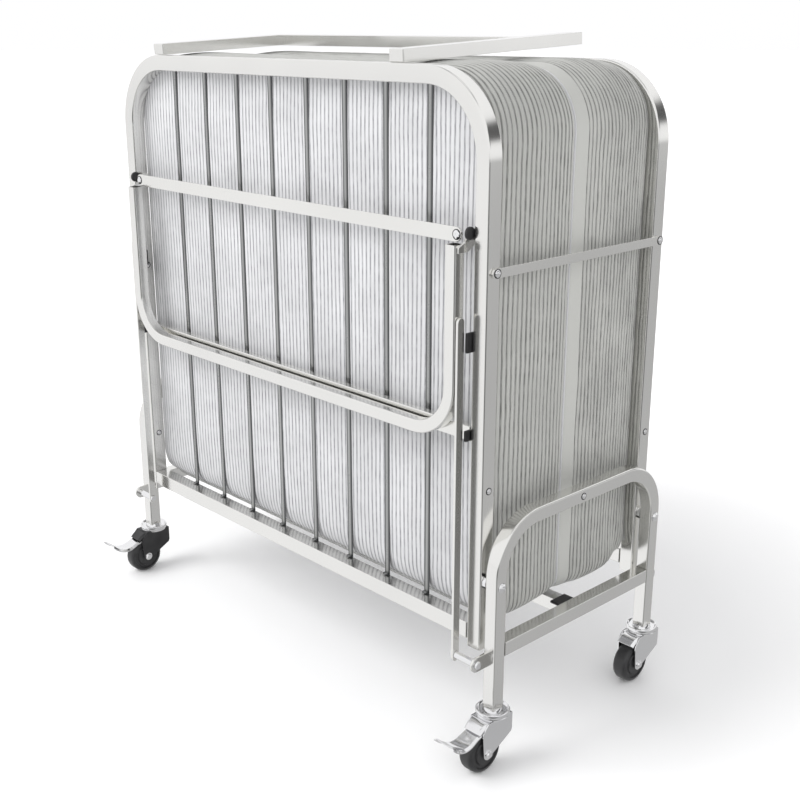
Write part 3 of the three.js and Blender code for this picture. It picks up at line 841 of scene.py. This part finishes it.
def fold_ribs(mesh, sign, stray, seed, crumple):
    """Lets the stripes wander, presses the border's ribs in and creases its ends a little."""
    layer = mesh.uv_layers["ticking"].data
    spots = read(layer, "uv", 2).reshape(-1, 2)
    spots[:, 0] += wander(spots[:, 0], spots[:, 1], stray, seed) * (spots[:, 0] < PLAIN_FROM)
    layer.foreach_set("uv", spots.ravel())
    kinds = read(mesh.polygons, "material_index", 1, np.int32)
    counts = read(mesh.polygons, "loop_total", 1, np.int32)
    on_border = np.repeat(kinds == 0, counts) & (spots[:, 0] < PLAIN_FROM)
    fold = per_corner_to_point(mesh, rib_line(spots[:, 0]) * on_border)
    normals = read(mesh.vertices, "normal", 3).reshape(-1, 3)
    shaped = coordinates(mesh) - normals * (fold * RIB_DEPTH * MM)[:, None]
    for index, (px, py, pz) in enumerate(shaped):
        crease = noise.noise(Vector((px * 6, py * 30 + seed, pz * 9))) * crumple
        shaped[index] += normals[index] * crease * MM * (abs(px) > 0.46)
    # No point crosses the fold's middle plane into the other half.
    shaped[:, 1] = FOLD_Y - sign * np.maximum(sign * (FOLD_Y - shaped[:, 1]), 0.0)
    mesh.vertices.foreach_set("co", shaped.ravel())
    for polygon in mesh.polygons:
        polygon.use_smooth = True
    mesh.update()


# %% Make both halves
PAD_LOOKS = {"front": (3, 0.0003, 1.0, 0.6, 0.6), "rear": (27, 0.0006, 1.16, 2.4, 1.5)}
for half, sign in HALVES.items():
    plain, stray, tighter, seed, crumple = PAD_LOOKS[half]
    flat, faces, cloth = half_mattress(plain)
    flat = round_the_fold(flat)
    outer = flat[:, 1] < PAD_FACE + 0.5
    places = [at(x, sign * y, z) for x, y, z in flat]
    pad = piece_of(f"mattress_pad_{half}", places, faces, TICKING_BORDER_PAINTED_SHADE)
    pad.data.materials.append(TICKING_PANEL)
    lay_cloth(pad, faces, cloth, tighter)
    now = coordinates(pad.data)
    # The panels stay behind the straps and off the fold's middle plane, and only the ends swell out.
    moved = swell(pad, SWELL_CAP)
    moved[:, 1] *= 0.0
    pad.data.vertices.foreach_set("co", (now + moved).ravel())
    now = coordinates(pad.data)
    bulge = strap_swell(now[:, 0] / MM, now[:, 2] / MM, sign * STRAP_SWELL * MM)
    now[outer, 1] -= bulge[outer]
    pad.data.vertices.foreach_set("co", now.ravel())
    pad.data.update()
    finer = pad.modifiers.new("finer", "SUBSURF")
    finer.levels, finer.uv_smooth = 2, "NONE"
    smooth = bpy.data.meshes.new_from_object(pad.evaluated_get(bpy.context.evaluated_depsgraph_get()))
    pad.modifiers.remove(finer)
    pad.data = smooth
    fold_ribs(smooth, sign, stray, seed, crumple)
    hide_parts(f"mattress_{half}", f"mattress_bend_{half}")
    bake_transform(pad)
    print(pad.name, len(smooth.polygons), "faces")

# %% [markdown]
# ## Ears, lugs and end plugs
# The stands carry ears for the links' lower pins, and the legs carry lugs for their pivots. All are
# flat plates with a round end. The hoop's open ends are closed with bright plugs.


# %% Flat plates with a round end
def plate_faces(count):
    """Two equal outlines of so many points, and the edge between them."""
    faces = [tuple(range(count)), tuple(range(count, 2 * count))]
    return faces + [(i, (i + 1) % count, count + (i + 1) % count, count + i) for i in range(count)]


def plate(outline, x0, x1, sign):
    """A plate in the YZ plane from an outline of (y, z) pairs, between two x."""
    points = [at(x, sign * y, z) for x in (x0, x1) for y, z in outline]
    return points, plate_faces(len(outline))


def round_end(y, z, radius, first, last, steps=14):
    return [
        (
            y + radius * math.cos(math.radians(first + (last - first) * i / steps)),
            z + radius * math.sin(math.radians(first + (last - first) * i / steps)),
        )
        for i in range(steps + 1)
    ]


for half, sign in HALVES.items():
    lugs = []
    for side, s in SIDES.items():
        lug = [(-246, 860), (-226, 860)] + round_end(-208, 885, 11, -60, 130) + [(-232, 876), (-246, 869)]
        lugs.append(plate(lug, s * 458.3, s * 462.9, sign))
        ear = round_end(-240, 192, 13, 270, 90) + [(-217.8, 205), (-217.8, 179)]
        ends = plate(ear, s * 508.2, s * 512.8, sign)
        piece = piece_of(f"stand_ear_{half}_{side}", *ends, NICKEL)
        settle(bevelled(piece, 0.7), "base", "nickel_tube")
    piece = piece_of(f"leg_lugs_{half}", *merged(lugs), NICKEL)
    settle(bevelled(piece, 0.7), f"leg_{half}", "nickel_tube")
low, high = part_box("top_hoop")
tilt = math.radians(3)
along = Vector((0, math.cos(tilt), math.sin(tilt)))
rise = Vector((0, -math.sin(tilt), math.cos(tilt)))
plugs = []
for x, reach in ((-367, 0), (297, 0), (-367, 305.2), (297, 427.2)):
    corner = Vector((x * MM, low.y, low.z)) + along * (reach * MM)
    parts = [
        corner + X * (a * MM) + rise * (c * MM) + along * (b * MM)
        for a in (-15.6, 15.6)
        for b in (-0.6, 2.4)
        for c in (0.4, 19.6)
    ]
    plugs.append((parts, BOX_FACES))
settle(bevelled(piece_of("hoop_plugs", *merged(plugs), NICKEL), 1.2, 3), "deck_front", "nickel_tube")
print("ears, lugs and plugs are in place")

# %% [markdown]
# ## Casters
# Each caster hangs from a bright pressed cup round the foot of its post. The fork is one pressed plate:
# two cheeks, a bridge under the race and a hood over the wheel's front. The front wheels carry a
# treadle brake, a bent plate with turned-down sides and a tip that flares up.

# %% The cup round each post
CUP_RADIUS, CUP_LOW = 29.0, 94.5
CASTERS = [f"{half}_{side}" for half in HALVES for side in SIDES]


def cup_profile(low):
    """The section of the pressed cup from its low ring over the rim to the post."""
    return [
        (low - 3.0, 20.0), (low - 3.0, 26.4), (low - 2.2, 27.2), (low + 0.4, 27.4), (low + 1.4, 26.2),
        (low + 2.2, 26.0), (low + 3.0, CUP_RADIUS - 0.4), (low + 4.4, CUP_RADIUS), (low + 8.0, CUP_RADIUS),
        (low + 9.6, CUP_RADIUS - 0.7), (low + 10.2, CUP_RADIUS - 2.0), (low + 9.4, CUP_RADIUS - 3.2),
        (low + 6.6, CUP_RADIUS - 4.4), (low + 5.2, CUP_RADIUS - 7.0), (low + 5.4, 17.5), (low + 10.0, 15.6),
        (low + 12.0, 13.8), (low + 12.0, 8.0),
    ]


def centre_of(node):
    low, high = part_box(node)
    return (low + high) / 2


def foot_of(end):
    """The place on the floor under a caster's post."""
    post = centre_of(f"caster_race_{end}")
    return Vector((post.x, post.y, 0))


for end in CASTERS:
    cup = turned(cup_profile(CUP_LOW), foot_of(end), Z, 56)
    piece = piece_of(f"caster_cup_{end}", *cup, ZINC)
    settle(piece, "base", "zinc", f"caster_race_{end}", angle=40)
print("cups:", len(CASTERS))

# %% The fork with its hood
CHEEK_OUT, CHEEK_IN, FORK_TOP = 20.6, 17.8, 93.6


def cheek_outline():
    outline = [(27, FORK_TOP), (27, 64), (25, 58)]
    outline += round_end(-30, 37.5, 10.5, -20, -180, 12)
    outline += [(-42.5, 60), (-43.5, 72), (-42, 80), (-37, 88), (-31, FORK_TOP)]
    return outline


def strip(route, half_width, thickness, place, sign, lip=0.0, dish=0.0, columns=8):
    """A bent plate along a route of (y, z), with turned-down sides and a dish across its width."""
    points, faces = [], []
    shares = [2 * i / columns - 1 for i in range(columns + 1)]
    for j, (y, z) in enumerate(route):
        before, after = route[max(j - 1, 0)], route[min(j + 1, len(route) - 1)]
        dy, dz = after[0] - before[0], after[1] - before[1]
        long = math.hypot(dy, dz)
        out = (dz / long, -dy / long)
        wide = half_width(j / (len(route) - 1))
        for under in (0.0, thickness):
            for share in shares:
                drop = dish * (1 - share**2) + under + (lip if abs(share) == 1 else 0)
                y_low, z_low = sign * (y - out[0] * drop), z - out[1] * drop
                points.append(place + Vector((wide * share * MM, y_low * MM, z_low * MM)))
    row = 2 * (columns + 1)
    for j in range(len(route) - 1):
        for i in range(columns):
            a = j * row + i
            faces.append((a, a + 1, a + row + 1, a + row))
            faces.append((a + columns + 1, a + columns + 2, a + row + columns + 2, a + row + columns + 1))
        for i in (0, columns):
            a = j * row + i
            faces.append((a, a + row, a + row + columns + 1, a + columns + 1))
    for j in (0, len(route) - 1):
        for i in range(columns):
            a = j * row + i
            faces.append((a, a + 1, a + columns + 2, a + columns + 1))
    return points, faces


def smooth_route(knots, steps=5):
    """A smooth line through knots, as many short steps."""
    route = []
    for i in range(len(knots) - 1):
        p = [Vector(knots[min(max(i + k, 0), len(knots) - 1)]) for k in (-1, 0, 1, 2)]
        for j in range(steps):
            t = j / steps
            route.append(
                tuple(
                    0.5
                    * (
                        2 * p[1]
                        + (p[2] - p[0]) * t
                        + (2 * p[0] - 5 * p[1] + 4 * p[2] - p[3]) * t**2
                        + (3 * p[1] - p[0] - 3 * p[2] + p[3]) * t**3
                    )
                )
            )
    return route + [tuple(knots[-1])]


NUT = [(0, 8.2), (1.2, 8.2), (1.8, 7.4), (1.8, 5.6), (3.2, 5.4), (4.0, 4.6), (4.0, 3.0), (2.4, 2.4), (2.4, 0)]
BRIDGE = [(27, FORK_TOP), (10, FORK_TOP), (-12, FORK_TOP), (-31, FORK_TOP)]
HOOD = smooth_route([(-29, 93.4), (-38, 91.5), (-46, 87), (-52, 81)], 4)
for end in CASTERS:
    foot, axle = foot_of(end), centre_of(f"caster_axle_{end}")
    forward = 1 if axle.y < foot.y else -1
    finish, slot = (BLACK, "black_plastic") if end == "front_left" else (ZINC, "zinc")
    outline, parts = cheek_outline(), []
    for s in (1, -1):
        points = [
            foot + Vector((s * x * MM, forward * y * MM, z * MM))
            for x in (CHEEK_IN, CHEEK_OUT)
            for y, z in outline
        ]
        parts.append((points, plate_faces(len(outline))))
    parts.append(strip(BRIDGE, lambda t: 20.4, 2.4, foot, forward))
    parts.append(strip(HOOD, lambda t: 19.6 - 1.5 * t, 1.8, foot, forward, lip=4.5, dish=0.8))
    piece = piece_of(f"caster_yoke_{end}", *merged(parts), finish)
    settle(bevelled(piece, 0.6), f"caster_{end}", slot, f"caster_fork_{end}", angle=30)
    nuts = [
        turned(NUT, Vector((axle.x + s * CHEEK_OUT * MM, axle.y, axle.z)), X * s, 30) for s in (1, -1)
    ]
    ends = piece_of(f"axle_heads_{end}", *merged(nuts), ZINC)
    settle(ends, f"caster_{end}", "zinc", angle=40)
    print(piece.name, "faces", "towards the front" if forward > 0 else "towards the rear")

# %% Wheels
for end in CASTERS:
    low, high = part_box(f"caster_wheel_{end}")
    rim, wide = (high.z - low.z) / 2 / MM, (high.x - low.x) / 2 / MM
    # From the hub out to the tread: how far in from the wheel's side, and how far from the axle.
    side_profile = [
        (0, 9), (0, rim - 16), (2.6, rim - 14.5), (2.6, rim - 9), (0.4, rim - 8),
        (0.8, rim - 5.5), (2.4, rim - 2.6), (5.2, rim - 0.7), (9, rim),
    ]
    shape = [(-wide + inset, radius) for inset, radius in side_profile]
    shape += [(wide - inset, radius) for inset, radius in reversed(side_profile)]
    tyre = piece_of(f"tyre_{end}", *turned(shape, (low + high) / 2, X, 64), RUBBER)
    settle(tyre, f"wheel_{end}", "caster_rubber", f"caster_wheel_{end}", angle=40)
print("wheels:", len(CASTERS))

# %% Brake treadles
PEDAL_KNOTS = [(-31, 80), (-44, 79.5), (-56, 76), (-70, 70.5), (-82, 70), (-94, 74), (-104, 80.5), (-112, 88)]


def pedal_half_width(t):
    """Narrow at the fork, and wider from a quarter of the way on."""
    return 17.0 + 5.5 * max(0.0, t - 0.25) / 0.75


for side in SIDES:
    foot = foot_of(f"front_{side}")
    plate_shape = strip(smooth_route(PEDAL_KNOTS), pedal_half_width, 1.8, foot, 1, lip=4.5, dish=2.2)
    piece = piece_of(f"treadle_{side}", *plate_shape, ZINC)
    settle(bevelled(piece, 0.4), f"pedal_front_{side}", "zinc", f"brake_pedal_front_{side}", angle=50)
print("treadles:", len(SIDES))

# %% [markdown]
# ## Studio
# The floor is a wide pale disc that fades out of sight. Metal shows what is round it, so the room is
# painted in the world by direction: bright in front, grey behind and below, and one dark band that
# puts the soft dark reflections into the bends of the tubes.

# %% Floor
FLOOR_RADIUS, FLOOR_SIDES = 60, 64
turns = [2 * math.pi * i / FLOOR_SIDES for i in range(FLOOR_SIDES)]
disc = [Vector((FLOOR_RADIUS * math.cos(turn), FLOOR_RADIUS * math.sin(turn), 0)) for turn in turns]
paper, tree, shader = start_finish("floor_paper")
floor = piece_of("floor", disc, [tuple(range(FLOOR_SIDES))], paper)
place = add_node(tree, "ShaderNodeTexCoord").outputs["Object"]
tone = blend_colours(tree, grain(tree, place, 0.7), (0.96, 0.96, 0.96, 1), (0.975, 0.975, 0.975, 1))
tree.links.new(tone, shader.inputs["Base Color"])
shader.inputs["Roughness"].default_value = 0.9
shader.inputs["Specular IOR Level"].default_value = 0.1
# The paper glows a little away from the bed, so that it runs out to plain white.
reach = add_node(tree, "ShaderNodeVectorMath", {0: place}, operation="LENGTH").outputs["Value"]
glow = spread(tree, reach, 0.0, 0.3, 0.75, 1.5)
shader.inputs["Emission Color"].default_value = (1, 1, 1, 1)
tree.links.new(glow, shader.inputs["Emission Strength"])
floor.visible_glossy = False
print("floor:", floor.name)

# %% Room light
world = bpy.data.worlds.new("studio")
bpy.context.scene.world = world
world.use_nodes = True
tree = world.node_tree
way = add_node(tree, "ShaderNodeTexCoord").outputs["Generated"]


def towards(direction, start, end):
    """A soft mask, 1 where the world lies in a direction."""
    reach = add_node(tree, "ShaderNodeVectorMath", {0: way, 1: direction}, operation="DOT_PRODUCT")
    mask = add_node(
        tree,
        "ShaderNodeMapRange",
        {"Value": reach.outputs["Value"], "From Min": start, "From Max": end},
        interpolation_type="SMOOTHSTEP",
    )
    return mask.outputs["Result"]


def paint(below, mask, value):
    return blend_colours(tree, mask, below, (value, value, value * 1.01, 1))


def both(first, second):
    return calculate(tree, "MULTIPLY", first, second)


room = paint((0.62, 0.62, 0.62, 1), towards((0, 0, 1), -0.12, -0.03), 1.0)
# Below the horizon: bright to the front left, grey to the back right, darkest towards the viewer's side.
for direction, start, end, value in (
    ((-0.7, -0.7, 0), 0.25, 0.8, 0.98),
    ((0.7, 0.7, 0), 0.1, 0.75, 0.50),
    ((0.7, -0.7, 0), 0.7, 0.95, 0.16),
):
    room = paint(room, both(towards(direction, start, end), towards((0, 0, -1), 0.0, 0.12)), value)
# Above the horizon: a dark card low on the right, and a grey ceiling strip.
lift = both(towards((0, 0, 1), 0.16, 0.26), towards((0, 0, -1), -0.52, -0.42))
room = paint(room, both(lift, towards((0.75, 0.65, 0), 0.55, 0.8)), 0.10)
room = paint(room, both(towards((0, 0, 1), 0.80, 0.9), towards((0, 0, -1), -0.97, -0.93)), 0.5)
tree.links.new(room, tree.nodes["Background"].inputs["Color"])
tree.nodes["Background"].inputs["Strength"].default_value = 1.0
print("world nodes:", len(tree.nodes))


# %% Lamps
def lamp(name, place, target, size, power):
    light = bpy.data.lights.new(name, "AREA")
    light.size, light.energy = size, power
    holder = bpy.data.objects.new(name, light)
    bpy.context.scene.collection.objects.link(holder)
    holder.location = place
    holder.rotation_euler = (Vector(target) - Vector(place)).to_track_quat("-Z", "Y").to_euler()
    holder.visible_glossy = False
    return holder


lamp("key", (-1.6, -3.2, 3.4), (0, 0, 0.5), 2.6, 118)
lamp("fill", (3.4, -2.0, 2.6), (0, 0, 0.5), 2.4, 22)
print("lamps are on")

# %% Camera
TURN, TILT, LENS = 46.67, 17.72, 52.8
camera_data = bpy.data.cameras.new("camera")
camera_data.lens, camera_data.sensor_width = LENS, 36
camera_data.clip_end = 200
camera = bpy.data.objects.new("camera", camera_data)
bpy.context.scene.collection.objects.link(camera)
camera.location = (1.6516, -1.4529, 1.1822)
camera.rotation_euler = (math.radians(90 - TILT), 0, math.radians(TURN))
bpy.context.scene.camera = camera
bpy.context.scene.view_settings.view_transform = "Standard"
print("camera at", tuple(round(v, 3) for v in camera.location))
